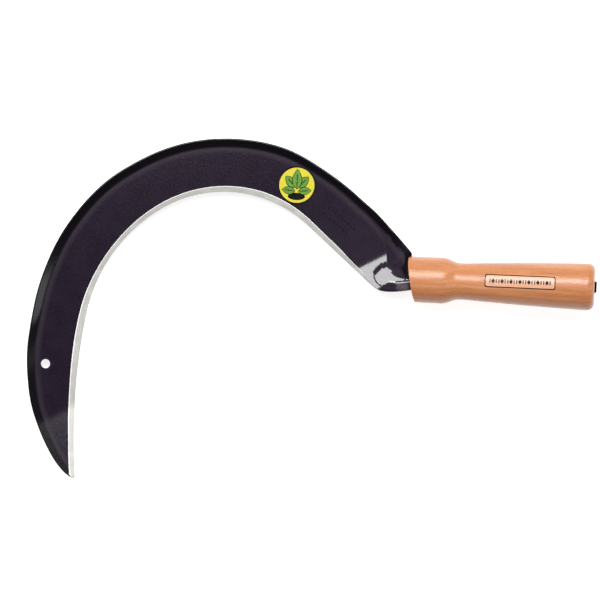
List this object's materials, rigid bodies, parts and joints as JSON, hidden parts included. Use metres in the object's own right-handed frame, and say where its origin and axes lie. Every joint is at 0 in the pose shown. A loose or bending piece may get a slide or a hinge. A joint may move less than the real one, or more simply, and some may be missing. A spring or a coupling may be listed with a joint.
{
  "type": "hand sickle",
  "caption": "Hand sickle: a crescent blade pressed from one steel sheet, ground on its inner edge and flanged along its back, on a short turned wooden handle.",
  "frame": {"origin": "centre of the bounding box on its base plane, which is the height of the low front rim of the handle", "axes": "+X from the crescent's flank towards the handle's butt, +Y towards the back of the crescent's crown, +Z out of the side that carries the ground bevel and the label; the flat web of the blade is parallel to XY"},
  "size_m": [0.4298, 0.2642, 0.0579],
  "materials": {
    "lacquered_steel": "gloss",
    "beech_wood": "satin",
    "label_film": "gloss",
    "printed_film": "satin"
  },
  "bodies": {
    "root": {"blade": "lacquered_steel", "handle": "beech_wood", "blade_label": "label_film", "handle_panel": "printed_film"}
  },
  "joints": []
}
